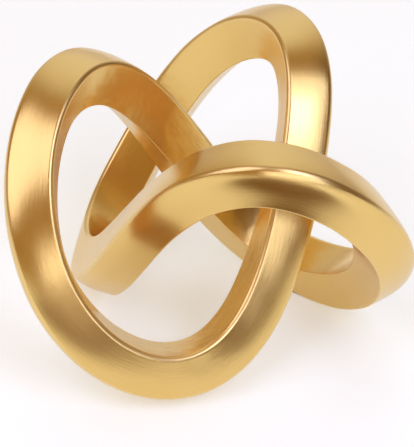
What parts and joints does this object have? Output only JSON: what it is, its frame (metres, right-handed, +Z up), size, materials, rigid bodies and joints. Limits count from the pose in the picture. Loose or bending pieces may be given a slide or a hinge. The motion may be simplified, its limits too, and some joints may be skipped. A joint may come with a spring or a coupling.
{
  "type": "knot sculpture",
  "caption": "Trefoil knot ornament of square satin-gold metal bar with softly rounded edges, standing on felt-padded low bends, for a shelf, desk or table.",
  "frame": {"origin": "middle of the knot's plan, on the surface that its felt pads rest on", "axes": "+Z up along the knot's upright axis, -Y towards the viewer of the front, +X to that viewer's right"},
  "size_m": [0.1836, 0.178, 0.1326],
  "materials": {
    "gold_casting": "satin gold, finely brushed and hand polished, lacquered",
    "steel_spigot": "bright drawn steel",
    "felt": "dense brown wool felt, self-adhesive"
  },
  "bodies": {
    "root": {"left_lobe": "gold_casting", "rear_lobe": "gold_casting", "right_lobe": "gold_casting", "left_spigot": "steel_spigot", "rear_spigot": "steel_spigot", "right_spigot": "steel_spigot", "left_felt_pad": "felt", "rear_felt_pad": "felt", "right_felt_pad": "felt"}
  },
  "joints": []
}
